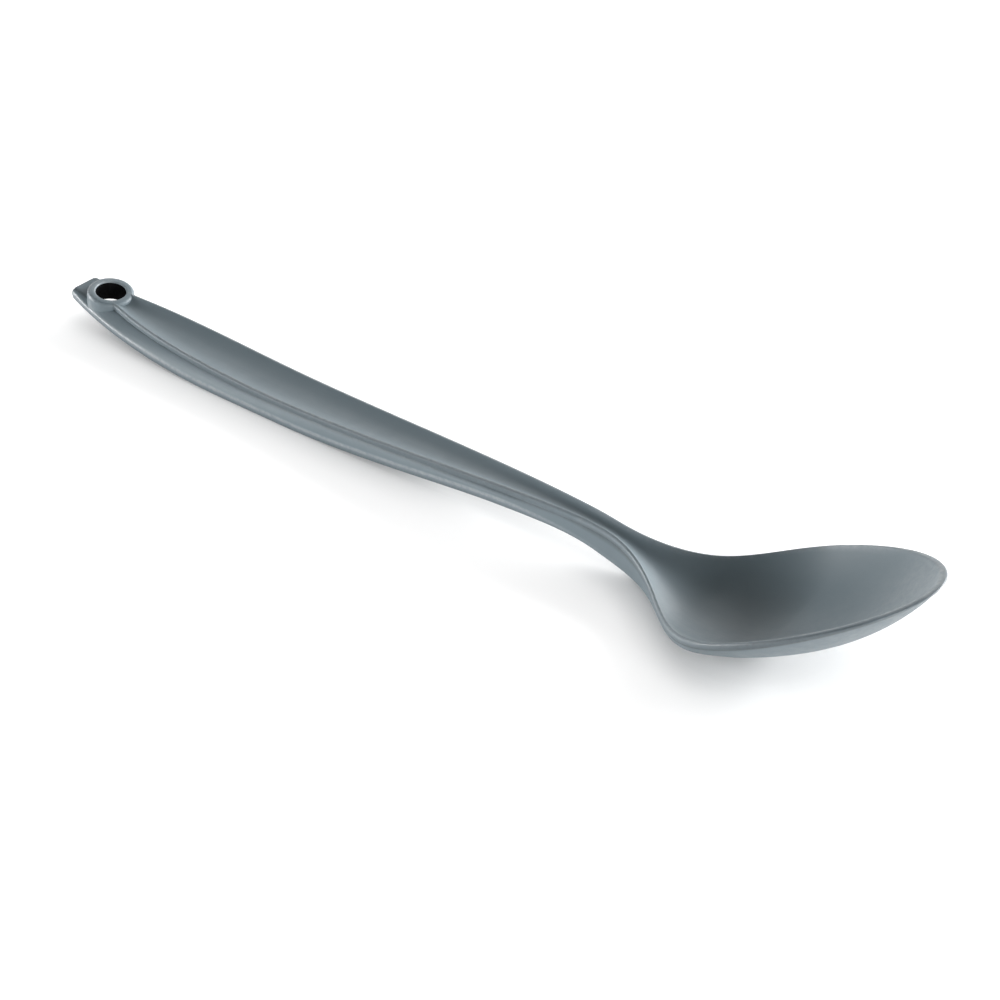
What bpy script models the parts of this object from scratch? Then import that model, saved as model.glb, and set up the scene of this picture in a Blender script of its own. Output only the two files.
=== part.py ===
"""Long-handled camping spoon: one moulded body and the sleeve that lines its hang hole.

The spoon lies as it rests on a table. +X runs to the tip of the bowl, +Y to its left and +Z up.
The origin is on the table, below the middle of the spoon's length.
"""
from math import atan, cos, pi, sin

import bmesh
import bpy
import numpy as np
from mathutils import Vector
from mathutils.geometry import interpolate_bezier

MM = 0.001

# Plan of the spoon
OVERALL_LENGTH = 215.0 * MM
BOWL_WIDTH = 39.0 * MM
BOWL_FRONT = 30.8 * MM  # tip to the widest section
BOWL_BACK = 38.5 * MM  # widest section to the narrowest part of the neck
NECK_WIDTH = 4.7 * MM
PANEL_WIDTH = 11.5 * MM  # dished panel on top of the handle
PANEL_WIDEST = 50.5 * MM  # from the handle's end
PANEL_END = 13.7 * MM  # from the handle's end
PANEL_END_WIDTH = 6.4 * MM
BASE_WIDTH = 14.3 * MM  # handle across its lips
BASE_WIDEST = 35.7 * MM  # from the handle's end
END_WIDTH = 7.6 * MM  # square-cut end
END_SHELF = 1.0 * MM  # flange beside the panel at the end
NECK_FLARE = 0.045  # slopes of the plan lines
PANEL_TAPER = 0.2
SHELF_TAPER = 0.1
END_TAPER = 0.23

# Side view: heights above the table
TIP_HEIGHT = 27.75 * MM
SHOULDER_HEIGHT = 5.25 * MM  # lowest point of the rim
SHOULDER_RUN = 19.5 * MM  # behind the widest section
CREST_HEIGHT = 9.35 * MM  # rim over the neck
CREST_RUN = 7.0 * MM  # behind the neck
GRIP_HEIGHT = 5.15 * MM  # rim over the rest land
ARCH_HEIGHT = 4.5 * MM  # underside of the neck
ARCH_RUN = 20.0 * MM  # behind the neck
REST_FROM_END = 45.5 * MM  # flat land that the handle rests on
REST_LENGTH = 20.0 * MM
END_LIFT = 4.1 * MM  # underside of the handle's end
END_SLOPE = 0.165
END_THICKNESS = 2.4 * MM

# Sections
BOWL_DEPTH = 9.3 * MM  # below the rim, at the bowl's centre
BOWL_CENTRE = 25.5 * MM  # from the tip
FLOOR_LOW = 15.5 * MM  # lowest point of the bowl's floor, behind the widest section
WALL = 1.8 * MM
DISH_POWER = 2.2
TIP_ROUND = 2.4  # powers that shape the outside of a section, across and down
TIP_DROP = 1.12
BOWL_ROUND = 1.9
BOWL_DROP = 1.25
NECK_SQUARE = 5.0
NECK_DISH = 0.9 * MM
NECK_RISE = 0.12  # slope of the floor at the neck
PANEL_DISH = 1.0 * MM
RIM_ROUND = 0.6 * MM  # rounding of the rim, across and down
RIM_DROP = 0.5 * MM
TIP_RIM_ROUND = 1.2 * MM
RIM_HEIGHT = 1.3 * MM
TIP_RIM_HEIGHT = 0.65 * MM
RIM_STEP = 0.4 * MM
LIP_HEIGHT = 1.6 * MM
LIP_WIDTH = 1.7 * MM
LIP_ROUND = 0.35 * MM
LIP_DRAFT = 0.25 * MM  # inwards, from the edge of the lip down
FLANK_BULGE = 0.2 * MM
CHANNEL_DRAFT = 0.3 * MM
CHANNEL_START = 25.0 * MM  # behind the neck
CHANNEL_END = 20.0 * MM  # from the handle's end
CHANNEL_RUNOUT = 12.0 * MM

# Hang hole
HANG_FROM_END = 8.5 * MM
COLLAR_HEIGHT = 7.7 * MM  # middle of the collar's top, above the table
COLLAR_RADIUS = 5.05 * MM
COLLAR_ROUND = 0.7 * MM
COLLAR_PROUD = 0.1 * MM  # above the rim of the panel
FLANGE_DROP = 3.0 * MM  # run, inside the collar, where the panel drops to the flange
HOLE_RADIUS = 3.3 * MM
HOLE_ROUND = 0.2 * MM
HOLE_LIP = 0.4 * MM  # collar over the sleeve
BUSH_WALL = 0.6 * MM
BUSH_CLEARANCE = 0.3 * MM

# Facets
FRONT_STEPS = 14
BACK_STEPS = 18
HANDLE_STEPS = 26
GRIP_STEPS = 10
TAB_STEPS = 6
DISH_STEPS = 8
UNDER_STEPS = 8
ROUND_STEPS = 48
EDGE_STEPS = 3

MOULDED_GREY = (0.145, 0.18, 0.2)
SLEEVE_BLACK = (0.01, 0.01, 0.011)

# Stations, as distances from the bowl's tip
WIDEST = BOWL_FRONT
SHOULDER = WIDEST + SHOULDER_RUN
LOWEST = WIDEST + FLOOR_LOW
NECK = BOWL_FRONT + BOWL_BACK
CREST = NECK + CREST_RUN
ARCH = NECK + ARCH_RUN
REST_END = OVERALL_LENGTH - REST_FROM_END
REST_START = REST_END - REST_LENGTH
HANG = OVERALL_LENGTH - HANG_FROM_END


def curve(knots, steps=24):
    """Points of a smooth line through knots of (distance, value, slope, reach back, reach on).

    The reaches are the lengths of the curve's handles, as shares of the run to the next knot.
    """
    points = []
    for first, second in zip(knots, knots[1:]):
        start = Vector(first[:2])
        end = Vector(second[:2])
        leaving = start + Vector((1.0, first[2])) * first[4]
        arriving = end - Vector((1.0, second[2])) * second[3]
        points += interpolate_bezier(start, leaving, arriving, end, steps + 1)[:-1]
    points.append(Vector(knots[-1][:2]))
    return points


def line(knots):
    """The same smooth line, as a function of the distance from the tip."""
    points = curve(knots)
    distances = [point.x for point in points]
    values = [point.y for point in points]
    return lambda distance: float(np.interp(distance, distances, values))


def ease(start, end, distance):
    """0 before start, 1 after end and a smooth change between them."""
    share = min(max((distance - start) / (end - start), 0.0), 1.0)
    return share * share * (3.0 - 2.0 * share)


def mix(first, second, share):
    return first + (second - first) * share


def rim_line():
    """Height of the rim, from the tip over the neck to the collar."""
    tip_slope = (SHOULDER_HEIGHT - TIP_HEIGHT) / (0.88 * SHOULDER)
    collar_rim = COLLAR_HEIGHT - COLLAR_PROUD
    grip = 0.5 * (REST_START + REST_END)
    return line([
        (0.0, TIP_HEIGHT, tip_slope, 0.0, 0.68 * SHOULDER),
        (SHOULDER, SHOULDER_HEIGHT, 0.0, 0.15 * SHOULDER, 0.23 * (CREST - SHOULDER)),
        (CREST, CREST_HEIGHT, 0.0, 0.5 * (CREST - SHOULDER), 0.27 * (grip - CREST)),
        (grip, GRIP_HEIGHT, 0.0, 0.34 * (grip - CREST), 0.35 * (HANG - grip)),
        (HANG, collar_rim, END_SLOPE, 0.18 * (HANG - grip), 0.3 * HANG_FROM_END),
        (OVERALL_LENGTH, collar_rim + END_SLOPE * HANG_FROM_END, END_SLOPE, 0.3 * HANG_FROM_END, 0.0),
    ])


def under_line():
    """Height of the underside, from the lowest point of the bowl to the handle's end."""
    arch_run = ARCH - LOWEST
    grip_run = REST_START - ARCH
    end_run = OVERALL_LENGTH - REST_END
    return line([
        (LOWEST, 0.0, 0.0, 0.0, 0.66 * arch_run),
        (ARCH, ARCH_HEIGHT, 0.0, 0.46 * arch_run, 0.22 * grip_run),
        (REST_START, 0.0, 0.0, 0.37 * grip_run, 0.3 * REST_LENGTH),
        (REST_END, 0.0, 0.0, 0.3 * REST_LENGTH, 0.3 * end_run),
        (OVERALL_LENGTH, END_LIFT, END_SLOPE, 0.32 * end_run, 0.0),
    ])


def floor_line(rim):
    """Height of the bowl's floor, from its centre back to the neck."""
    step = 0.02 * BOWL_CENTRE
    rim_slope = (rim(BOWL_CENTRE + step) - rim(BOWL_CENTRE - step)) / (2.0 * step)
    front_run = LOWEST - BOWL_CENTRE
    neck_run = NECK - LOWEST
    return line([
        (BOWL_CENTRE, rim(BOWL_CENTRE) - BOWL_DEPTH, rim_slope, 0.0, 0.34 * front_run),
        (LOWEST, WALL, 0.0, 0.48 * front_run, 0.42 * neck_run),
        (NECK, rim(NECK) - NECK_DISH, NECK_RISE, 0.34 * neck_run, 0.0),
    ])


def base_line():
    """Half width of the handle across its lips."""
    widest = OVERALL_LENGTH - BASE_WIDEST
    run = widest - NECK
    return line([
        (NECK, 0.5 * NECK_WIDTH + RIM_STEP, NECK_FLARE, 0.0, 0.27 * run),
        (widest, 0.5 * BASE_WIDTH, 0.0, 0.17 * run, 0.4 * BASE_WIDEST),
        (OVERALL_LENGTH, 0.5 * END_WIDTH, -END_TAPER, 0.28 * BASE_WIDEST, 0.0),
    ])


def rim_rows():
    """Rows across the spoon, from the tip to the end: rim distance, half width and spine distance."""
    half = 0.5 * BOWL_WIDTH
    rows = []
    front = interpolate_bezier(
        Vector((0.0, 0.0)), Vector((0.0, 0.52 * half)), Vector((0.45 * WIDEST, half)),
        Vector((WIDEST, half)), FRONT_STEPS + 1)
    for index, point in enumerate(front[:-1]):
        spine = mix(BOWL_CENTRE, WIDEST, index / FRONT_STEPS)
        rows.append((point.x, point.y, spine))
    panel_widest = OVERALL_LENGTH - PANEL_WIDEST
    panel_end = OVERALL_LENGTH - PANEL_END
    handle_run = panel_widest - NECK
    grip_run = panel_end - panel_widest
    widest = (WIDEST, half, 0.0, 0.0, 0.44 * BOWL_BACK)
    neck = (NECK, 0.5 * NECK_WIDTH, 0.0, 0.44 * BOWL_BACK, 0.14 * handle_run)
    panel = (panel_widest, 0.5 * PANEL_WIDTH, 0.0, 0.47 * handle_run, 0.55 * grip_run)
    run_out = (panel_end, 0.5 * PANEL_END_WIDTH, -PANEL_TAPER, 0.2 * grip_run, 0.3 * PANEL_END)
    end = (OVERALL_LENGTH, 0.5 * END_WIDTH - END_SHELF, -SHELF_TAPER, 0.3 * PANEL_END, 0.0)
    spans = (
        (widest, neck, BACK_STEPS),
        (neck, panel, HANDLE_STEPS),
        (panel, run_out, GRIP_STEPS),
        (run_out, end, TAB_STEPS),
    )
    for first, second, steps in spans:
        for point in curve((first, second), steps)[:-1]:
            rows.append((point.x, point.y, point.x))
    rows.append((end[0], end[1], end[0]))
    return rows


class Lines:
    """The side-view lines that every section is drawn from."""

    def __init__(self):
        self.rim_over = rim_line()
        self.under_handle = under_line()
        self.base = base_line()
        self.bowl_floor = floor_line(self.rim_over)

    def tab(self, distance):
        """1 where only the flange of the handle runs on past the collar."""
        return ease(HANG, HANG + FLANGE_DROP, distance)

    def rim(self, distance):
        flange = self.under_handle(distance) + END_THICKNESS
        return mix(self.rim_over(distance), flange, self.tab(distance))

    def floor(self, distance):
        if distance <= NECK:
            return self.bowl_floor(distance)
        dish = mix(NECK_DISH, PANEL_DISH, ease(NECK, OVERALL_LENGTH - PANEL_WIDEST, distance))
        return self.rim(distance) - dish * (1.0 - self.tab(distance))

    def under(self, distance):
        if distance <= LOWEST:
            return self.floor(distance) - WALL
        return self.under_handle(distance)

    def channel_roof(self, distance):
        """Top of the channel under the handle, which runs out at both ends."""
        start = NECK + CHANNEL_START
        end = OVERALL_LENGTH - CHANNEL_END
        opening = ease(start - CHANNEL_RUNOUT, start, distance)
        opening -= ease(end - CHANNEL_RUNOUT, end, distance)
        under = self.under(distance)
        return mix(under, max(under, self.floor(distance) - WALL), opening)


def top_section(lines, reach, station, spine):
    """Dish and rim of one row, from the spine out, as (distance from the spine, height)."""
    scale = 1.0 - 0.9 * lines.tab(spine)
    full = ease(0.0, WIDEST, station(reach))
    wall = mix(TIP_RIM_HEIGHT, RIM_HEIGHT, full)
    rounding = mix(TIP_RIM_ROUND, RIM_ROUND, full)
    inner = reach - rounding
    depth = lines.rim(spine) - lines.floor(spine)
    points = []
    for index in range(DISH_STEPS + 1):
        share = index / DISH_STEPS
        radius = inner * share
        points.append((radius, lines.rim(station(radius)) - depth * (1.0 - share ** DISH_POWER)))
    rim_points = []
    for index in range(1, EDGE_STEPS + 1):
        angle = 0.5 * pi * index / EDGE_STEPS
        rim_points.append((rounding * (1.0 - sin(angle)), RIM_DROP * (1.0 - cos(angle))))
    rim_points += [(0.0, wall), (RIM_STEP * scale, 1.1 * wall)]
    for inset, drop in rim_points:
        radius = reach - inset
        points.append((radius, lines.rim(station(radius)) - drop * scale))
    return points


def bowl_under(lines, start, station, spine):
    """Outside of the bowl or neck, from below the rim in to the spine."""
    full = ease(0.0, WIDEST, station(start[0]))
    boxed = ease(WIDEST, NECK, spine)
    across = mix(mix(TIP_ROUND, BOWL_ROUND, full), NECK_SQUARE, boxed)
    down = mix(mix(TIP_DROP, BOWL_DROP, full), NECK_SQUARE, boxed)
    below_rim = lines.rim(station(start[0])) - start[1]
    height = lines.rim(spine) - below_rim - lines.under(spine)
    points = []
    for index in range(1, UNDER_STEPS + 1):
        angle = 0.5 * pi * index / UNDER_STEPS
        radius = start[0] * max(cos(angle), 0.0) ** (2.0 / across)
        drop = height * sin(angle) ** (2.0 / down)
        points.append((radius, lines.rim(station(radius)) - below_rim - drop))
    points[-1] = (0.0, lines.under(spine))
    return points


def handle_under(lines, start, spine):
    """Flank, lip and channel of the handle, from below the rim in to the spine."""
    base = lines.base(spine)
    under = lines.under(spine)
    roof = lines.channel_roof(spine)
    lip_top = min(under + LIP_HEIGHT, start[1] - 1.1 * LIP_ROUND)
    wall_top = base - LIP_WIDTH - CHANNEL_DRAFT
    flank = Vector((base, lip_top)) - Vector(start)
    bulge = Vector((-flank.y, flank.x)).normalized() * FLANK_BULGE
    points = []
    for share in (0.5, max(0.6, 1.0 - LIP_ROUND / flank.length)):
        points.append(Vector(start) + flank * share + bulge * 4.0 * share * (1.0 - share))
    return points + [
        (base, lip_top - LIP_ROUND),
        (base - LIP_DRAFT, under),
        (base - LIP_WIDTH, under),
        (wall_top, roof),
        (0.5 * wall_top, roof),
        (0.0, roof),
    ]


def section(lines, row):
    """One row's outline on the +Y side, from the spine on top round to the spine below."""
    edge, half, spine = row
    reach = Vector((edge - spine, half)).length

    def station(radius):
        return mix(spine, edge, radius / reach)

    points = top_section(lines, reach, station, spine)
    start = points[-1]
    bowl = bowl_under(lines, start, station, spine)
    handle_share = ease(NECK, NECK + CHANNEL_START, spine)
    if handle_share > 0.0:
        handle = handle_under(lines, start, spine)
        for first, second in zip(bowl, handle):
            points.append((mix(first[0], second[0], handle_share), mix(first[1], second[1], handle_share)))
    else:
        points += bowl
    corners = []
    for radius, height in points:
        x = 0.5 * OVERALL_LENGTH - station(radius)
        corners.append(Vector((x, half * radius / reach, height)))
    return corners


def material(name, colour, roughness):
    result = bpy.data.materials.new(name)
    result.use_nodes = True
    shader = result.node_tree.nodes["Principled BSDF"]
    shader.inputs["Base Color"].default_value = (*colour, 1.0)
    shader.inputs["Roughness"].default_value = roughness
    shader.inputs["Metallic"].default_value = 0.0
    return result


def new_object(name, mesh, collection, parent=None):
    obj = bpy.data.objects.new(name, mesh)
    collection.objects.link(obj)
    obj.parent = parent
    return obj


def turned(name, profile, closed, collection, parent):
    """A profile of (radius, height) points turned about its own Z axis."""
    mesh = bpy.data.meshes.new(name)
    corners = [(radius, 0.0, height) for radius, height in profile]
    edges = [(index, index + 1) for index in range(len(corners) - 1)]
    if closed:
        edges.append((len(corners) - 1, 0))
    mesh.from_pydata(corners, edges, [])
    obj = new_object(name, mesh, collection, parent)
    screw = obj.modifiers.new("Turn", "SCREW")
    screw.steps = ROUND_STEPS
    screw.render_steps = ROUND_STEPS
    screw.use_merge_vertices = True
    screw.merge_threshold = 0.01 * MM
    return obj


def hide_as_cutter(obj):
    obj.hide_render = True
    obj.display_type = "WIRE"


def boolean(obj, tool, operation):
    modifier = obj.modifiers.new(tool.name, "BOOLEAN")
    modifier.operation = operation
    modifier.object = tool
    modifier.solver = "EXACT"


def make_body(collection):
    """Loft of the +Y half, mirrored to the other side."""
    lines = Lines()
    mesh = bpy.data.meshes.new("spoon_body")
    grid = bmesh.new()
    rows = []
    for row in rim_rows():
        rows.append([grid.verts.new(corner) for corner in section(lines, row)])
    for row, following in zip(rows, rows[1:]):
        for index in range(len(row) - 1):
            grid.faces.new((row[index], row[index + 1], following[index + 1], following[index]))
    grid.faces.new(rows[-1])
    grid.to_mesh(mesh)
    grid.free()
    mesh.shade_smooth()
    body = new_object("spoon_body", mesh, collection)
    mirror = body.modifiers.new("Mirror", "MIRROR")
    mirror.use_axis = (False, True, False)
    mirror.merge_threshold = 0.001 * MM
    mesh.materials.append(material("moulded_grey", MOULDED_GREY, 0.5))
    return body, lines


def make_hang_hole(body, lines, collection, cutters):
    """Collar, stepped seat and sleeve, all on the tilted axis of the hang hole."""
    tilt = atan(END_SLOPE)
    depth = (COLLAR_HEIGHT - lines.under(HANG)) * cos(tilt)
    axis = bpy.data.objects.new("hang_axis", None)
    axis.location = (0.5 * OVERALL_LENGTH - HANG, 0.0, COLLAR_HEIGHT)
    axis.rotation_euler = (0.0, tilt, 0.0)
    collection.objects.link(axis)

    foot = 0.5 * END_THICKNESS - depth
    shoulder = COLLAR_RADIUS - COLLAR_ROUND
    collar_profile = [(0.0, 0.0)]
    for index in range(EDGE_STEPS + 1):
        angle = 0.5 * pi * index / EDGE_STEPS
        collar_profile.append((
            shoulder + COLLAR_ROUND * sin(angle), COLLAR_ROUND * (cos(angle) - 1.0)))
    collar_profile += [(COLLAR_RADIUS, foot), (0.0, foot)]
    collar = turned("collar", collar_profile, False, cutters, axis)

    seat_radius = HOLE_RADIUS + BUSH_WALL + BUSH_CLEARANCE
    past = 2.0 * END_THICKNESS
    seat = turned("sleeve_seat", [
        (0.0, past),
        (HOLE_RADIUS + HOLE_ROUND, past),
        (HOLE_RADIUS + HOLE_ROUND, 0.0),
        (HOLE_RADIUS, -HOLE_ROUND),
        (HOLE_RADIUS, -HOLE_LIP),
        (seat_radius, -HOLE_LIP),
        (seat_radius, -depth - past),
        (0.0, -depth - past),
    ], False, cutters, axis)

    top = -HOLE_LIP - BUSH_CLEARANCE
    outer = HOLE_RADIUS + BUSH_WALL
    chamfer = 0.3 * BUSH_WALL
    bush = turned("hang_bush", [
        (outer - chamfer, top),
        (outer, top - chamfer),
        (outer, chamfer - depth),
        (outer - chamfer, -depth),
        (HOLE_RADIUS + chamfer, -depth),
        (HOLE_RADIUS, chamfer - depth),
        (HOLE_RADIUS, top),
    ], True, collection, axis)
    bush.data.materials.append(material("sleeve_black", SLEEVE_BLACK, 0.45))

    for tool in (collar, seat):
        hide_as_cutter(tool)
    boolean(body, collar, "UNION")
    boolean(body, seat, "DIFFERENCE")


def build():
    for obj in list(bpy.data.objects):
        bpy.data.objects.remove(obj)
    spoon = bpy.data.collections.new("camping_spoon")
    cutters = bpy.data.collections.new("cutters")
    for collection in (spoon, cutters):
        bpy.context.scene.collection.children.link(collection)
    body, lines = make_body(spoon)
    make_hang_hole(body, lines, spoon, cutters)


build()
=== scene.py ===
from math import atan, cos, hypot, pi, radians, sin

import bmesh
import bpy
import numpy as np
from mathutils import Matrix, Vector
from mathutils.geometry import interpolate_bezier
from mathutils.kdtree import KDTree


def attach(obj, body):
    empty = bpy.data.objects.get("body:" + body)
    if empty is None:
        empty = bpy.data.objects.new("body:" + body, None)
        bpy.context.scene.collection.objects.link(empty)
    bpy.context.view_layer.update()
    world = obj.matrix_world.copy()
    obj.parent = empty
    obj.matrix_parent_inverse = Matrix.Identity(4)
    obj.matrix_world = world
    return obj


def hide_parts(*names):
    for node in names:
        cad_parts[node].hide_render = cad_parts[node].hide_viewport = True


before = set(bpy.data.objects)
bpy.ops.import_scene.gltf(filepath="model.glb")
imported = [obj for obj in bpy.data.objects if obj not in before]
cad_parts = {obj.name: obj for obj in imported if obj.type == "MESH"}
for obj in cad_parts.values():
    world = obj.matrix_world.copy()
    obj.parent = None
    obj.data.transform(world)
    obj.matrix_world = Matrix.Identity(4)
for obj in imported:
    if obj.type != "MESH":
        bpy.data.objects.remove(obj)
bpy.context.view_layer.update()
mm = 0.001
print("frame loaded:", sorted(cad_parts))


# Smooth lines, all in millimetres along the spoon from the tip of the bowl

def smoothLine(knots, steps=160):  # knots: place, value, slope, reach back, reach on
    places, values = [], []
    for first, second in zip(knots, knots[1:]):
        start, end = Vector(first[:2]), Vector(second[:2])
        leaving = start + Vector((1.0, first[2])) * first[4]
        arriving = end - Vector((1.0, second[2])) * second[3]
        for point in interpolate_bezier(start, leaving, arriving, end, steps + 1)[:-1]:
            places.append(point.x)
            values.append(point.y)
    places.append(knots[-1][0])
    values.append(knots[-1][1])
    return np.array(places), np.array(values)


def lookUp(line):
    return lambda place: np.interp(place, line[0], line[1])


def ease(start, end, place):
    share = np.clip((place - start) / (end - start), 0.0, 1.0)
    return share * share * (3.0 - 2.0 * share)


def mix(first, second, share):
    return first + (second - first) * share


def bend(first, middle, last, turn):  # curve from the first point to the last, drawn to the middle one
    return (1.0 - turn) ** 2 * first + 2.0 * turn * (1.0 - turn) * middle + turn ** 2 * last


# The moulded body: bowl, neck and handle in one loft

body = {
    "length": 215.0, "bowlWidth": 39.0, "bowlFront": 30.8, "bowlBack": 38.5,
    "neckWidth": 4.7, "panelWidth": 11.5, "panelWidest": 50.5, "panelEnd": 13.7, "panelEndWidth": 6.4,
    "baseWidth": 14.3, "baseWidest": 35.7, "endWidth": 7.6, "endShelf": 1.0,
    "neckFlare": 0.045, "panelTaper": 0.2, "shelfTaper": 0.1, "endTaper": 0.23,
    "tipHeight": 27.75, "shoulderHeight": 5.25, "shoulderRun": 19.5, "crestHeight": 9.35, "crestRun": 7.0,
    "gripHeight": 5.15, "archHeight": 4.5, "archRun": 20.0, "restFromEnd": 45.5, "restLength": 20.0,
    "endLift": 4.1, "endSlope": 0.165, "endThickness": 2.4,
    "bowlDepth": 9.3, "bowlCentre": 25.5, "floorLow": 15.5, "wall": 1.8, "dishPower": 2.2,
    "tipRound": 2.4, "tipDrop": 1.12, "bowlRound": 1.9, "bowlDrop": 1.25, "neckSquare": 5.0,
    "neckDish": 0.9, "neckRise": 0.12, "panelDish": 1.0,
    "rimRound": 0.6, "rimDrop": 0.5, "tipRimRound": 1.2, "rimHeight": 1.3, "tipRimHeight": 0.65,
    "rimStep": 0.4, "rimBlend": 0.12, "tipBlend": 1.0, "rimSink": 0.012,
    "lipHeight": 1.6, "lipWidth": 1.7, "lipRound": 0.35, "lipDraft": 0.25, "flankBulge": 0.2,
    "channelDraft": 0.3, "channelStart": 25.0, "channelEnd": 20.0, "channelRunout": 12.0, "cornerSpan": 0.2,
    "frontRows": 44, "backRows": 54, "handleRows": 84, "gripRows": 40, "tabRows": 26,
    "dishColumns": 22, "blendColumns": 5, "rimColumns": 8, "mergeGap": 0.0005, "sharpAngle": 38.0,
}
collar = {
    "fromEnd": 8.5, "height": 7.7, "radius": 5.05, "round": 0.85, "proud": 0.1, "flangeDrop": 3.0,
    "holeRadius": 3.3, "holeRound": 0.3, "holeLip": 0.4, "sides": 128, "roundSteps": 8,
}

length = body["length"]
widest = body["bowlFront"]
shoulder = widest + body["shoulderRun"]
lowest = widest + body["floorLow"]
neck = widest + body["bowlBack"]
crest = neck + body["crestRun"]
arch = neck + body["archRun"]
restEnd = length - body["restFromEnd"]
restStart = restEnd - body["restLength"]
hang = length - collar["fromEnd"]


def rimLine():  # height of the rim from the tip over the neck to the collar
    tipSlope = (body["shoulderHeight"] - body["tipHeight"]) / (0.88 * shoulder)
    collarRim = collar["height"] - collar["proud"]
    grip = 0.5 * (restStart + restEnd)
    rise = crest - shoulder
    fall = grip - crest
    tail = hang - grip
    slope = body["endSlope"]
    past = collar["fromEnd"]
    return lookUp(smoothLine([
        (0.0, body["tipHeight"], tipSlope, 0.0, 0.68 * shoulder),
        (shoulder, body["shoulderHeight"], 0.0, 0.15 * shoulder, 0.23 * rise),
        (crest, body["crestHeight"], 0.0, 0.5 * rise, 0.27 * fall),
        (grip, body["gripHeight"], 0.0, 0.34 * fall, 0.35 * tail),
        (hang, collarRim, slope, 0.18 * tail, 0.3 * past),
        (length, collarRim + slope * past, slope, 0.3 * past, 0.0),
    ]))


def underLine():  # underside from the lowest point of the bowl to the end
    archRun = arch - lowest
    gripRun = restStart - arch
    endRun = length - restEnd
    rest = body["restLength"]
    return lookUp(smoothLine([
        (lowest, 0.0, 0.0, 0.0, 0.66 * archRun),
        (arch, body["archHeight"], 0.0, 0.46 * archRun, 0.22 * gripRun),
        (restStart, 0.0, 0.0, 0.37 * gripRun, 0.3 * rest),
        (restEnd, 0.0, 0.0, 0.3 * rest, 0.3 * endRun),
        (length, body["endLift"], body["endSlope"], 0.32 * endRun, 0.0),
    ]))


def baseLine():  # half width of the handle across its lips
    place = length - body["baseWidest"]
    run = place - neck
    return lookUp(smoothLine([
        (neck, 0.5 * body["neckWidth"] + body["rimStep"], body["neckFlare"], 0.0, 0.27 * run),
        (place, 0.5 * body["baseWidth"], 0.0, 0.17 * run, 0.4 * body["baseWidest"]),
        (length, 0.5 * body["endWidth"], -body["endTaper"], 0.28 * body["baseWidest"], 0.0),
    ]))


rimOver, underHandle, baseHalf = rimLine(), underLine(), baseLine()


def bowlFloorLine():
    centre = body["bowlCentre"]
    step = 0.02 * centre
    rimSlope = (rimOver(centre + step) - rimOver(centre - step)) / (2.0 * step)
    frontRun = lowest - centre
    neckRun = neck - lowest
    return lookUp(smoothLine([
        (centre, rimOver(centre) - body["bowlDepth"], rimSlope, 0.0, 0.34 * frontRun),
        (lowest, body["wall"], 0.0, 0.48 * frontRun, 0.42 * neckRun),
        (neck, rimOver(neck) - body["neckDish"], body["neckRise"], 0.34 * neckRun, 0.0),
    ]))


bowlFloor = bowlFloorLine()


def tabShare(place):  # 1 where only the flange runs on past the collar
    return ease(hang, hang + collar["flangeDrop"], place)


def rimAt(place):
    return mix(rimOver(place), underHandle(place) + body["endThickness"], tabShare(place))


def floorAt(place):
    if place <= neck:
        return float(bowlFloor(place))
    dish = mix(body["neckDish"], body["panelDish"], ease(neck, length - body["panelWidest"], place))
    return float(rimAt(place) - dish * (1.0 - tabShare(place)))


def underAt(place):
    return floorAt(place) - body["wall"] if place <= lowest else float(underHandle(place))


def channelRoof(place):  # channel under the handle, which runs out at both ends
    start, end = neck + body["channelStart"], length - body["channelEnd"]
    opening = ease(start - body["channelRunout"], start, place)
    opening -= ease(end - body["channelRunout"], end, place)
    under = underAt(place)
    return mix(under, max(under, floorAt(place) - body["wall"]), opening)


def rimRows():  # rows across the spoon: rim place, half width, spine place
    half = 0.5 * body["bowlWidth"]
    steps = body["frontRows"]
    front = interpolate_bezier(
        Vector((0.0, 0.0)), Vector((0.0, 0.52 * half)), Vector((0.45 * widest, half)),
        Vector((widest, half)), steps + 1)
    rows = []
    for index, point in enumerate(front[:-1]):
        rows.append((point.x, point.y, mix(body["bowlCentre"], widest, index / steps)))
    panelWidest = length - body["panelWidest"]
    panelEnd = length - body["panelEnd"]
    handleRun = panelWidest - neck
    gripRun = panelEnd - panelWidest
    back = body["bowlBack"]
    knots = (
        (widest, half, 0.0, 0.0, 0.44 * back),
        (neck, 0.5 * body["neckWidth"], 0.0, 0.44 * back, 0.14 * handleRun),
        (panelWidest, 0.5 * body["panelWidth"], 0.0, 0.47 * handleRun, 0.55 * gripRun),
        (panelEnd, 0.5 * body["panelEndWidth"], -body["panelTaper"], 0.2 * gripRun, 0.3 * body["panelEnd"]),
        (length, 0.5 * body["endWidth"] - body["endShelf"], -body["shelfTaper"], 0.3 * body["panelEnd"], 0.0),
    )
    counts = (body["backRows"], body["handleRows"], body["gripRows"], body["tabRows"])
    for first, second, count in zip(knots, knots[1:], counts):
        places, halves = smoothLine((first, second), count)
        rows += [(place, width, place) for place, width in zip(places[:-1], halves[:-1])]
    rows.append((length, knots[-1][1], length))
    return rows


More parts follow.
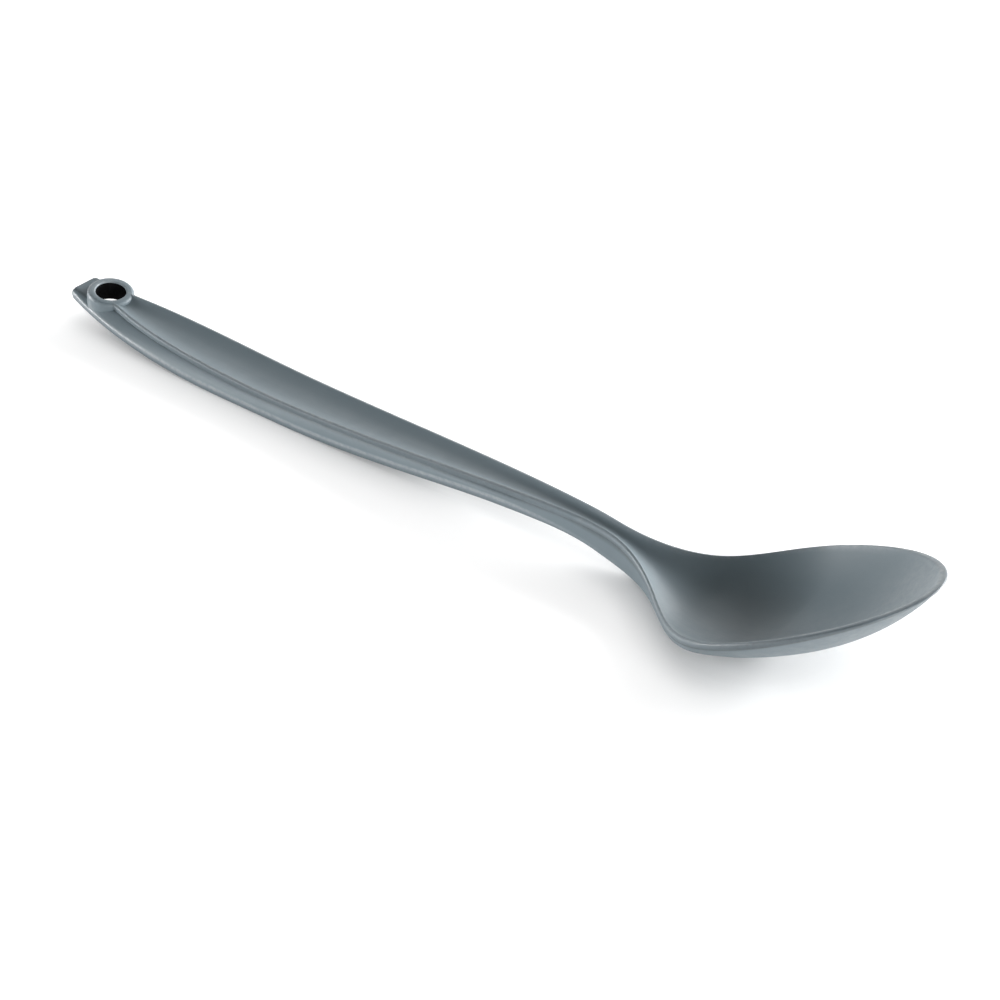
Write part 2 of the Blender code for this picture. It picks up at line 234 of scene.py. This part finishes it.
def topOf(station, reach, spine):  # dish and rim, from the spine out, as radius and height
    scale = 1.0 - 0.9 * float(tabShare(spine))
    full = float(ease(0.0, widest, station(reach)))
    wall = mix(body["tipRimHeight"], body["rimHeight"], full)
    rounding = mix(body["tipRimRound"], body["rimRound"], full)
    inner = reach - rounding
    depth = float(rimAt(spine)) - floorAt(spine)
    power = body["dishPower"]
    blend = min(mix(body["tipBlend"], body["rimBlend"], full), 0.12 * reach)
    meet = (inner - blend) / inner
    low = depth * (1.0 - meet ** power)
    fall = depth * power * meet ** (power - 1.0) * blend / inner
    drops = []
    for index in range(body["dishColumns"]):
        share = meet * index / body["dishColumns"]
        drops.append((inner * share, depth * (1.0 - share ** power)))
    for index in range(body["blendColumns"]):  # the dish flattens out to the crest of the rim
        share = index / body["blendColumns"]
        drop = low * (1.0 + 2.0 * share) * (1.0 - share) ** 2 - fall * share * (1.0 - share) ** 2
        drops.append((inner - blend * (1.0 - share), drop))
    for index in range(body["rimColumns"] + 1):
        turn = 0.5 * pi * index / body["rimColumns"]
        drops.append((inner + rounding * sin(turn), body["rimDrop"] * scale * (1.0 - cos(turn))))
    points = [(radius, float(rimAt(station(radius))) - drop - body["rimSink"]) for radius, drop in drops]
    edge = float(rimAt(station(reach)))
    step = body["rimStep"] * scale
    foot = edge - wall * scale
    points += [  # rounded foot of the rim
        (reach, foot + 0.12 * scale),
        (reach - 0.1 * step, foot + 0.03 * scale),
        (reach - 0.35 * step, foot - 0.03 * wall * scale),
    ]
    crease = reach - step
    points.append((crease, float(rimAt(station(crease))) - 1.1 * wall * scale))
    return points


# Places over the eight spans of the underside, closer together at its corners
underShares = [0.2 * index for index in range(1, 11)]
underShares += [2.25, 2.5, 2.75, 3.0, 3.5, 3.8, 3.9, 4.0, 4.1, 4.2, 4.5]
underShares += [4.8, 4.9, 5.0, 5.1, 5.2, 5.5, 5.8, 5.9, 6.0, 6.1, 6.2]
underShares += [6.25 + 0.25 * index for index in range(1, 8)]
underSpans = 8


def bowlUnder(start, station, spine):
    full = float(ease(0.0, widest, station(start[0])))
    boxed = float(ease(widest, neck, spine))
    across = mix(mix(body["tipRound"], body["bowlRound"], full), body["neckSquare"], boxed)
    down = mix(mix(body["tipDrop"], body["bowlDrop"], full), body["neckSquare"], boxed)
    belowRim = float(rimAt(station(start[0]))) - start[1]
    height = float(rimAt(spine)) - belowRim - underAt(spine)
    points = []
    for share in underShares:
        angle = 0.5 * pi * share / underSpans
        radius = start[0] * max(cos(angle), 0.0) ** (2.0 / across)
        drop = height * sin(angle) ** (2.0 / down)
        points.append((radius, float(rimAt(station(radius))) - belowRim - drop))
    points[-1] = (0.0, underAt(spine))
    return points


def handleUnder(start, spine):  # flank, lip and channel
    base = float(baseHalf(spine))
    under = underAt(spine)
    roof = channelRoof(spine)
    soft = body["lipRound"]
    lipTop = min(under + body["lipHeight"], start[1] - 1.1 * soft)
    wallTop = base - body["lipWidth"] - body["channelDraft"]
    flank = np.array((base - start[0], lipTop - start[1]))
    bulge = body["flankBulge"] * np.array((-flank[1], flank[0])) / hypot(*flank)
    flankEnd = max(0.6, 1.0 - soft / hypot(*flank))

    def onFlank(share):
        return np.array(start) + flank * share + bulge * 4.0 * share * (1.0 - share)

    corners = [np.array(corner) for corner in (
        start,
        onFlank(0.5 * flankEnd),
        onFlank(flankEnd),
        (base, lipTop - soft),
        (base - body["lipDraft"], under),
        (base - body["lipWidth"], under),
        (wallTop, roof),
        (0.5 * wallTop, roof),
        (0.0, roof),
    )]

    def straight(share):
        index = min(int(share), underSpans - 1)
        return mix(corners[index], corners[index + 1], share - index)

    points = []
    span = body["cornerSpan"]
    for share in underShares:
        nearest = round(share)
        if share <= 2.0:
            point = onFlank(0.5 * flankEnd * share)
        elif share <= 3.0:  # rounded edge of the lip
            point = bend(corners[2], np.array((base, lipTop)), corners[3], share - 2.0)
        elif nearest in (4, 5, 6) and abs(share - nearest) < span:  # softened corners of lip and channel
            turn = (share - nearest + span) / (2.0 * span)
            point = bend(straight(nearest - span), corners[nearest], straight(nearest + span), turn)
        else:
            point = straight(share)
        points.append((float(point[0]), float(point[1])))
    return points


def crossSection(row):  # one row on the +Y side, spine on top round to spine below
    edge, half, spine = row
    reach = hypot(edge - spine, half)

    def station(radius):
        return mix(spine, edge, radius / reach)

    points = topOf(station, reach, spine)
    start = points[-1]
    share = float(ease(neck, neck + body["channelStart"], spine))
    outline = bowlUnder(start, station, spine) if share < 1.0 else handleUnder(start, spine)
    if 0.0 < share < 1.0:
        outline = [
            (mix(first[0], second[0], share), mix(first[1], second[1], share))
            for first, second in zip(outline, handleUnder(start, spine))]
    return [
        Vector((0.5 * length - station(radius), half * radius / reach, height)) * mm
        for radius, height in points + outline]


sections = [(row[0], crossSection(row)) for row in rimRows()]  # place of the rim, points of the row


def loftBody():
    grid = bmesh.new()
    for side in (1.0, -1.0):
        rows = []
        for place, section in sections:
            rows.append([grid.verts.new((corner.x, side * corner.y, corner.z)) for corner in section])
        for row, following in zip(rows, rows[1:]):
            for index in range(len(row) - 1):
                corners = (row[index], row[index + 1], following[index + 1], following[index])
                grid.faces.new(corners if side > 0.0 else corners[::-1])
        grid.faces.new(rows[-1] if side > 0.0 else rows[-1][::-1])
    bmesh.ops.remove_doubles(grid, verts=grid.verts, dist=body["mergeGap"] * mm)
    bmesh.ops.recalc_face_normals(grid, faces=grid.faces)
    mesh = bpy.data.meshes.new("spoonBody")
    grid.to_mesh(mesh)
    grid.free()
    return mesh


# Turned pieces on the tilted axis of the hang hole

sleeve = {"wall": 0.6, "clearance": 0.3, "round": 0.18, "roundSteps": 4, "sides": 128}
tilt = atan(body["endSlope"])
hangPlace = Vector((0.5 * length - hang, 0.0, collar["height"])) * mm
hangMatrix = Matrix.Translation(hangPlace) @ Matrix.Rotation(tilt, 4, "Y")
hangDepth = (collar["height"] - underAt(hang)) * cos(tilt)


def arcPoints(centre, radius, start, end, steps):
    points = []
    for index in range(steps + 1):
        angle = mix(start, end, index / steps)
        points.append((centre[0] + radius * cos(angle), centre[1] + radius * sin(angle)))
    return points


def turnedMesh(name, profile, sides):  # closed profile of radius and height
    grid = bmesh.new()
    angles = [2.0 * pi * index / sides for index in range(sides)]
    rings = []
    for radius, height in profile:
        across = radius * mm
        if radius == 0.0:
            rings.append([grid.verts.new((0.0, 0.0, height * mm))])
        else:
            rings.append([
                grid.verts.new((across * cos(angle), across * sin(angle), height * mm)) for angle in angles])
    closed = profile[0][0] > 0.0
    following = rings[1:] + rings[:1] if closed else rings[1:]
    for first, second in zip(rings, following):
        for index in range(sides):
            after = (index + 1) % sides
            if len(first) == 1:
                grid.faces.new((first[0], second[after], second[index]))
            elif len(second) == 1:
                grid.faces.new((first[index], first[after], second[0]))
            else:
                grid.faces.new((first[index], first[after], second[after], second[index]))
    bmesh.ops.recalc_face_normals(grid, faces=grid.faces)
    mesh = bpy.data.meshes.new(name)
    grid.to_mesh(mesh)
    grid.free()
    mesh.transform(hangMatrix)
    return mesh


def collarMesh():
    edge = collar["round"]
    foot = 0.5 * body["endThickness"] - hangDepth
    profile = [(0.0, 0.0)]
    profile += arcPoints((collar["radius"] - edge, -edge), edge, 0.5 * pi, 0.0, collar["roundSteps"])
    profile += [(collar["radius"], foot), (0.0, foot)]
    return turnedMesh("collar", profile, collar["sides"])


def seatMesh():
    hole, lip, edge = collar["holeRadius"], collar["holeLip"], collar["holeRound"]
    seat = hole + sleeve["wall"] + sleeve["clearance"]
    past = 2.0 * body["endThickness"]
    profile = [(0.0, past), (hole + edge, past)]
    profile += arcPoints((hole + edge, -edge), edge, 0.5 * pi, pi, collar["roundSteps"])
    profile += [(hole, -lip), (seat, -lip), (seat, -hangDepth - past), (0.0, -hangDepth - past)]
    return turnedMesh("seat", profile, collar["sides"])


def sleeveMesh():
    top = -collar["holeLip"] - sleeve["clearance"]
    inner = collar["holeRadius"]
    outer = inner + sleeve["wall"]
    edge, steps = sleeve["round"], sleeve["roundSteps"]
    profile = []
    profile += arcPoints((outer - edge, top - edge), edge, 0.5 * pi, 0.0, steps)
    profile += arcPoints((outer - edge, edge - hangDepth), edge, 0.0, -0.5 * pi, steps)
    profile += arcPoints((inner + edge, edge - hangDepth), edge, -0.5 * pi, -pi, steps)
    profile += arcPoints((inner + edge, top - edge), edge, pi, 0.5 * pi, steps)
    return turnedMesh("hangSleeve", profile, sleeve["sides"])


def addObject(name, mesh):
    piece = bpy.data.objects.new(name, mesh)
    bpy.context.scene.collection.objects.link(piece)
    return piece


def combine(piece, tools):
    for tool, operation in tools:
        cut = piece.modifiers.new(tool.name, "BOOLEAN")
        cut.operation = operation
        cut.object = tool
        cut.solver = "EXACT"
    bpy.context.view_layer.update()
    shaped = bpy.data.meshes.new_from_object(piece.evaluated_get(bpy.context.evaluated_depsgraph_get()))
    piece.modifiers.clear()
    piece.data = shaped
    for tool, operation in tools:
        bpy.data.objects.remove(tool)


spoonBody = addObject("spoonBody", loftBody())
combine(spoonBody, [
    (addObject("collar", collarMesh()), "UNION"),
    (addObject("seat", seatMesh()), "DIFFERENCE"),
])
spoonBody.data.name = "spoonBody"
hangSleeve = addObject("hangSleeve", sleeveMesh())
for piece in (spoonBody, hangSleeve):
    piece.data.shade_smooth()
    piece.data.set_sharp_from_angle(angle=radians(body["sharpAngle"]))
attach(spoonBody, "root")
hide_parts("spoon_body")
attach(hangSleeve, "root")
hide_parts("hang_bush")
print("pieces built:", len(spoonBody.data.polygons), "and", len(hangSleeve.data.polygons), "faces")


# Lines of the moulding that are lightened as rubbed wear and painted highlight, and those darkened with
# painted shade

# rubbed wear with painted highlight: rims, grip crest, lip, tip and collar edges get a lighter colour where
# light catches their rounded edges
wearAndHighlight = {  # strength, and the distances from the line at which it is full and gone
    "bowlRim": (0.4, 0.3, 1.2), "tipRim": (0.6, 0.6, 2.8), "gripRim": (0.4, 0.15, 0.6),
    "gripCrest": (1.0, 0.08, 0.25), "lip": (1.0, 0.12, 0.55), "collar": (1.0, 0.2, 0.9),
    "sleeve": (1.0, 0.1, 0.6),
    "scuff": 0.3, "scuffRun": (20.0, 6.0), "tipRun": (11.0, 2.0), "tipEnd": 14.0, "panelFade": 0.7,
    "collarLeast": 0.05, "collarMost": 0.7, "collarRun": (hang - 2.0, hang + 4.0),
}
# painted shade: a darker colour in the crease under the rim, on the rim wall and on the lip wall by the
# table, where shade falls
paintedShade = {
    "crease": (1.0, 0.15, 0.8), "creaseFade": 0.5, "rimWall": (1.0, 0.05, 0.4), "panelWall": 0.5,
    "frontWall": 0.75, "frontStart": (2.0, 9.0), "frontEnd": (45.0, 25.0), "lipWall": (0.4, 0.3, 0.8),
}


def rimPath(column, start=0.0, end=length):  # both sides, between two places along the spoon
    points = []
    for place, section in sections:
        if start <= place <= end:
            corner = section[column]
            points += [(corner.x, corner.y, corner.z), (corner.x, -corner.y, corner.z)]
    return points


def circlePath(radius, height, count=180):  # round the hang hole
    points = []
    for index in range(count):
        angle = 2.0 * pi * index / count
        points.append(hangMatrix @ (Vector((radius * cos(angle), radius * sin(angle), height)) * mm))
    return points


def nearness(mesh, points, strength, full, gone):
    tree = KDTree(len(points))
    for index, point in enumerate(points):
        tree.insert(point, index)
    tree.balance()
    distances = np.array([tree.find(vertex.co)[2] for vertex in mesh.vertices]) / mm
    return strength * (1.0 - ease(full, gone, distances))


def storeMask(mesh, name, values):
    layer = mesh.attributes.new(name, "FLOAT", "POINT")
    layer.data.foreach_set("value", np.asarray(values, np.float32))


grey, black = spoonBody.data, hangSleeve.data
crestColumn = body["dishColumns"] + body["blendColumns"]
creaseColumn = crestColumn + body["rimColumns"] + 4  # past the rounding and the foot of the rim
lipColumn = creaseColumn + 12  # past the flank
places = np.array([0.5 * length - vertex.co.x / mm for vertex in grey.vertices])
onGrip = ease(neck, neck + body["channelStart"], places)
onPanel = onGrip * (1.0 - wearAndHighlight["panelFade"] * ease(length - body["panelWidest"], hang, places))
onFront = ease(*paintedShade["frontEnd"], places) * ease(*paintedShade["frontStart"], places)
onTip = ease(*wearAndHighlight["tipRun"], places)
onWall = np.maximum(paintedShade["panelWall"] * onPanel, paintedShade["frontWall"] * onFront)
onCollar = mix(wearAndHighlight["collarLeast"], wearAndHighlight["collarMost"], ease(*wearAndHighlight["collarRun"], places))
gripCrest = rimPath(crestColumn + 1, neck, hang) + rimPath(crestColumn + 2, neck, hang)
rimWall = [point for column in range(crestColumn + 5, creaseColumn + 1) for point in rimPath(column)]
lipWall = rimPath(lipColumn + 4, neck) + rimPath(lipColumn + 6, neck)
outerRound, holeRound = collar["round"], collar["holeRound"]
collarEdge = circlePath(collar["radius"] - 0.3 * outerRound, -0.3 * outerRound)
collarEdge += circlePath(collar["holeRadius"] + 0.7 * holeRound, -0.1 * holeRound)
# lighter colour on the edges: partly wear, partly painted highlight
rubbedAndHighlit = np.maximum.reduce([
    wearAndHighlight["scuff"] * ease(*wearAndHighlight["scuffRun"], places),
    nearness(grey, rimPath(crestColumn + 2, 0.0, crest), *wearAndHighlight["bowlRim"]),
    onTip * nearness(grey, rimPath(crestColumn + 4, 0.0, wearAndHighlight["tipEnd"]), *wearAndHighlight["tipRim"]),
    onPanel * nearness(grey, rimPath(crestColumn + 2, neck, hang), *wearAndHighlight["gripRim"]),
    onPanel * nearness(grey, gripCrest, *wearAndHighlight["gripCrest"]),
    onGrip * nearness(grey, rimPath(lipColumn, neck), *wearAndHighlight["lip"]),
    onCollar * nearness(grey, collarEdge, *wearAndHighlight["collar"]),
])
# darker colour in the crease and along the rim and lip walls: painted shade
paintedShading = np.maximum.reduce([
    (1.0 - paintedShade["creaseFade"] * onGrip) * nearness(grey, rimPath(creaseColumn), *paintedShade["crease"]),
    onWall * nearness(grey, rimWall, *paintedShade["rimWall"]),
    onGrip * nearness(grey, lipWall, *paintedShade["lipWall"]),
])
sleeveEnds = circlePath(collar["holeRadius"], -collar["holeLip"] - sleeve["clearance"])
sleeveEnds += circlePath(collar["holeRadius"], -hangDepth)
storeMask(grey, "rubbedAndHighlitEdge", rubbedAndHighlit)
storeMask(grey, "paintedShadeLine", paintedShading)
storeMask(black, "rubbedAndHighlitEdge", nearness(black, sleeveEnds, *wearAndHighlight["sleeve"]))
storeMask(black, "paintedShadeLine", np.zeros(len(black.vertices)))
print("edge masks stored")


# Finishes

texture = {  # scales are in waves to the metre
    "dragScale": 2600.0, "dragStretch": (0.03, 1.0, 1.0), "dragHeight": 0.25, "dragGloss": 0.35,
    "patchScale": 320.0, "patchGloss": 0.65, "cloudStretch": (0.4, 1.0, 1.0), "spotScale": 900.0,
    "rubAndHighlightLeast": 0.25, "paintedShadeLeast": 0.65, "low": 0.3, "high": 0.7,
}


def addNode(tree, kind, **settings):
    node = tree.nodes.new(kind)
    for name, value in settings.items():
        setattr(node, name, value)
    return node


def newGroup(name, inputs, outputs):
    group = bpy.data.node_groups.new(name, "ShaderNodeTree")
    for label, value in inputs.items():
        group.interface.new_socket(label, in_out="INPUT", socket_type="NodeSocketFloat").default_value = value
    for label in outputs:
        group.interface.new_socket(label, in_out="OUTPUT", socket_type="NodeSocketFloat")
    return group, addNode(group, "NodeGroupInput"), addNode(group, "NodeGroupOutput")


def noiseOn(tree, vector, scale, detail, roughness=0.55):
    noise = addNode(tree, "ShaderNodeTexNoise")
    noise.inputs["Detail"].default_value = detail
    noise.inputs["Roughness"].default_value = roughness
    tree.links.new(vector, noise.inputs["Vector"])
    if isinstance(scale, (int, float)):
        noise.inputs["Scale"].default_value = scale
    else:
        tree.links.new(scale, noise.inputs["Scale"])
    return noise.outputs["Fac"]


def stretched(tree, vector, scale):
    mapping = addNode(tree, "ShaderNodeMapping")
    mapping.inputs["Scale"].default_value = scale
    tree.links.new(vector, mapping.inputs["Vector"])
    return mapping.outputs["Vector"]


def maths(tree, operation, first, second):
    node = addNode(tree, "ShaderNodeMath", operation=operation)
    for socket, value in zip(node.inputs, (first, second)):
        if isinstance(value, (int, float)):
            socket.default_value = value
        else:
            tree.links.new(value, socket)
    return node.outputs[0]


def ranged(tree, value, low, high, newLow, newHigh):
    node = addNode(tree, "ShaderNodeMapRange")
    for label, number in zip(("From Min", "From Max", "To Min", "To Max"), (low, high, newLow, newHigh)):
        node.inputs[label].default_value = number
    tree.links.new(value, node.inputs["Value"])
    return node.outputs["Result"]


def grainGroup():  # spark-eroded grain, pigment clouds and fine drag lines along the handle
    inputs = {"Grain": 4000.0, "Clouds": 60.0}
    group, given, made = newGroup("mouldedGrain", inputs, ("Height", "Tone", "Gloss"))
    place = addNode(group, "ShaderNodeTexCoord").outputs["Object"]
    grain = noiseOn(group, place, given.outputs["Grain"], 3.0, 0.6)
    along = noiseOn(group, stretched(group, place, texture["dragStretch"]), texture["dragScale"], 2.0)
    clouds = noiseOn(group, stretched(group, place, texture["cloudStretch"]), given.outputs["Clouds"], 4.0)
    patches = noiseOn(group, place, texture["patchScale"], 4.0, 0.6)
    height = maths(group, "ADD", grain, maths(group, "MULTIPLY", along, texture["dragHeight"]))
    dullPatches = maths(group, "MULTIPLY", patches, texture["patchGloss"])
    dullLines = maths(group, "MULTIPLY", along, texture["dragGloss"])
    group.links.new(height, made.inputs["Height"])
    group.links.new(clouds, made.inputs["Tone"])
    group.links.new(maths(group, "ADD", dullPatches, dullLines), made.inputs["Gloss"])
    return group


def edgeGroup():  # rubbed edges with painted highlights, and painted shade in the crease and along the walls, both broken up
    group, given, made = newGroup("edgeRub", {"RubAndHighlightStrength": 1.0, "PaintedShadeStrength": 1.0}, ("RubAndHighlightMask", "PaintedShadeMask"))
    place = addNode(group, "ShaderNodeTexCoord").outputs["Object"]
    spots = noiseOn(group, place, texture["spotScale"], 4.0, 0.65)
    effects = (
        ("rubbedAndHighlitEdge", "RubAndHighlightStrength", "RubAndHighlightMask", texture["rubAndHighlightLeast"]),
        ("paintedShadeLine", "PaintedShadeStrength", "PaintedShadeMask", texture["paintedShadeLeast"]),
    )
    for mask, amount, label, least in effects:
        line = addNode(group, "ShaderNodeAttribute", attribute_name=mask).outputs["Fac"]
        breakUp = ranged(group, spots, texture["low"], texture["high"], least, 1.0)
        strength = maths(group, "MULTIPLY", line, given.outputs[amount])
        group.links.new(maths(group, "MULTIPLY", strength, breakUp), made.inputs[label])
    return group


grainNodes, edgeNodes = grainGroup(), edgeGroup()
# the lighter edge colour is wear and painted highlight; the darkest colour is painted shade in creases and
# along walls
greyFinish = {
    "dark": (0.149, 0.191, 0.215), "light": (0.171, 0.212, 0.235), "rubbedAndHighlit": (0.34, 0.37, 0.39),
    "paintedShading": (0.055, 0.07, 0.078), "grain": 4200.0, "clouds": 55.0, "rubAndHighlight": 1.0, "paintedShade": 1.0,
    "smooth": 0.40, "rough": 0.56, "rubGloss": 0.25, "bump": 0.22, "bumpDepth": 0.00004, "specular": 0.5,
}
blackFinish = {
    "dark": (0.002, 0.002, 0.0024), "light": (0.004, 0.004, 0.0045), "rubbedAndHighlit": (0.012, 0.012, 0.013),
    "paintedShading": (0.01, 0.01, 0.01), "grain": 3000.0, "clouds": 300.0, "rubAndHighlight": 0.5, "paintedShade": 0.0,
    "smooth": 0.6, "rough": 0.8, "rubGloss": 0.25, "bump": 0.2, "bumpDepth": 0.00004, "specular": 0.02,
}


def mixColour(tree, factor, first, second):
    node = addNode(tree, "ShaderNodeMix", data_type="RGBA")
    tree.links.new(factor, node.inputs["Factor"])
    for socket, value in ((node.inputs["A"], first), (node.inputs["B"], second)):
        if isinstance(value, tuple):
            socket.default_value = (*value, 1.0)
        else:
            tree.links.new(value, socket)
    return node.outputs["Result"]


def mouldedMaterial(name, finish):
    made = bpy.data.materials.new(name)
    made.use_nodes = True
    tree = made.node_tree
    shader = tree.nodes["Principled BSDF"]
    grain = addNode(tree, "ShaderNodeGroup", node_tree=grainNodes)
    grain.inputs["Grain"].default_value = finish["grain"]
    grain.inputs["Clouds"].default_value = finish["clouds"]
    edges = addNode(tree, "ShaderNodeGroup", node_tree=edgeNodes)
    edges.inputs["RubAndHighlightStrength"].default_value = finish["rubAndHighlight"]
    edges.inputs["PaintedShadeStrength"].default_value = finish["paintedShade"]
    tone = ranged(tree, grain.outputs["Tone"], texture["low"], texture["high"], 0.0, 1.0)
    colour = mixColour(tree, tone, finish["dark"], finish["light"])
    # lighter edges: wear and painted highlight
    colour = mixColour(tree, edges.outputs["RubAndHighlightMask"], colour, finish["rubbedAndHighlit"])
    # then the darker colour in creases and along walls: painted shade
    colour = mixColour(tree, edges.outputs["PaintedShadeMask"], colour, finish["paintedShading"])
    tree.links.new(colour, shader.inputs["Base Color"])
    rough = ranged(
        tree, grain.outputs["Gloss"], texture["low"], texture["high"], finish["smooth"], finish["rough"])
    polish = maths(tree, "MULTIPLY", edges.outputs["RubAndHighlightMask"], finish["rubGloss"])
    tree.links.new(maths(tree, "SUBTRACT", rough, polish), shader.inputs["Roughness"])
    bump = addNode(tree, "ShaderNodeBump")
    bump.inputs["Strength"].default_value = finish["bump"]
    bump.inputs["Distance"].default_value = finish["bumpDepth"]
    tree.links.new(grain.outputs["Height"], bump.inputs["Height"])
    tree.links.new(bump.outputs["Normal"], shader.inputs["Normal"])
    shader.inputs["Specular IOR Level"].default_value = finish["specular"]
    return made


grey.materials.clear()
grey.materials.append(mouldedMaterial("mouldedGrey", greyFinish))
black.materials.append(mouldedMaterial("sleeveBlack", blackFinish))
print("finishes made")


# Table, lamps and camera

studio = {
    "floorSize": 12.0, "floorDrop": 0.00002, "floorAlbedo": 0.82, "floorRoughness": 0.9, "floorGlow": 0.62,
    "shadowReach": 0.03, "shadowDepth": 0.82, "contactReach": 0.007, "contactDepth": 0.5, "shadowCore": 0.2,
    "horizon": 0.25, "zenith": 0.0, "glowTop": 20.0, "lampReach": 2.0,
    "lamps": {  # degrees round from +X, degrees up, metres across, watts
        "back": (60.0, 14.0, 1.0, 62.0), "far": (92.0, 18.0, 1.0, 15.0), "sky": (132.0, 22.0, 1.6, 8.5),
        "right": (0.0, 22.0, 1.0, 10.0), "left": (210.0, 10.0, 1.0, 40.0), "front": (330.0, 10.0, 1.0, 21.0),
        "near": (268.0, 10.0, 1.0, 7.0),
    },
}
view = {
    "place": (0.2779, -0.3150, 0.2916), "turn": (55.0, 0.0, 40.3), "lens": 93.6, "sensor": 36.0, "clip": 0.01,
}


def addLamp(name, turn, lift, size, power):
    lamp = bpy.data.lights.new(name + "Lamp", "AREA")
    lamp.shape = "DISK"
    lamp.size = size
    lamp.energy = power
    made = addObject(name + "Lamp", lamp)
    flat = cos(radians(lift))
    away = Vector((flat * cos(radians(turn)), flat * sin(radians(turn)), sin(radians(lift))))
    made.location = away * studio["lampReach"]
    made.rotation_euler = (-away).to_track_quat("-Z", "Y").to_euler()


def seenRays(tree):  # 1 for rays that show the background
    path = addNode(tree, "ShaderNodeLightPath")
    seen = maths(tree, "MAXIMUM", path.outputs["Is Camera Ray"], path.outputs["Is Glossy Ray"])
    return maths(tree, "MAXIMUM", seen, path.outputs["Is Transmission Ray"])


def softShadow(tree, reach, depth):  # darker next to the piece
    closeness = addNode(tree, "ShaderNodeAmbientOcclusion")
    closeness.inputs["Distance"].default_value = reach
    return ranged(tree, closeness.outputs["AO"], studio["shadowCore"], 1.0, 1.0 - depth, 1.0)


def floorMaterial():
    made = bpy.data.materials.new("tableWhite")
    made.use_nodes = True
    tree = made.node_tree
    shader = tree.nodes["Principled BSDF"]
    shader.inputs["Base Color"].default_value = (studio["floorAlbedo"],) * 3 + (1.0,)
    shader.inputs["Roughness"].default_value = studio["floorRoughness"]
    shader.inputs["Specular IOR Level"].default_value = 0.0
    wide = softShadow(tree, studio["shadowReach"], studio["shadowDepth"])
    contact = softShadow(tree, studio["contactReach"], studio["contactDepth"])
    tree.links.new(maths(tree, "MULTIPLY", wide, contact), shader.inputs["Emission Color"])
    glow = maths(tree, "MULTIPLY", seenRays(tree), studio["floorGlow"])
    tree.links.new(glow, shader.inputs["Emission Strength"])
    return made


def studioWorld():  # light from low down, fading to the zenith
    made = bpy.data.worlds.new("studio")
    made.use_nodes = True
    tree = made.node_tree
    sky = tree.nodes["Background"]
    sky.inputs["Color"].default_value = (1.0, 1.0, 1.0, 1.0)
    heading = addNode(tree, "ShaderNodeTexCoord").outputs["Generated"]
    split = addNode(tree, "ShaderNodeSeparateXYZ")
    tree.links.new(heading, split.inputs["Vector"])
    fade = addNode(tree, "ShaderNodeMapRange", interpolation_type="SMOOTHSTEP")
    fade.inputs["From Max"].default_value = sin(radians(studio["glowTop"]))
    fade.inputs["To Min"].default_value = studio["horizon"]
    fade.inputs["To Max"].default_value = studio["zenith"]
    tree.links.new(split.outputs["Z"], fade.inputs["Value"])
    tree.links.new(fade.outputs["Result"], sky.inputs["Strength"])
    return made


for name, settings in studio["lamps"].items():
    addLamp(name, *settings)

tableMesh = bpy.data.meshes.new("table")
edge = 0.5 * studio["floorSize"]
tableMesh.from_pydata(
    [(-edge, -edge, 0.0), (edge, -edge, 0.0), (edge, edge, 0.0), (-edge, edge, 0.0)], [], [(0, 1, 2, 3)])
tableMesh.materials.append(floorMaterial())
table = addObject("table", tableMesh)
table.location.z = -studio["floorDrop"]

lens = bpy.data.cameras.new("camera")
lens.lens = view["lens"]
lens.sensor_width = view["sensor"]
lens.clip_start = view["clip"]
camera = addObject("camera", lens)
camera.location = view["place"]
camera.rotation_euler = [radians(angle) for angle in view["turn"]]
scene = bpy.context.scene
scene.world = studioWorld()
scene.camera = camera
scene.view_settings.view_transform = "Standard"
print("stage, lamps and camera set")
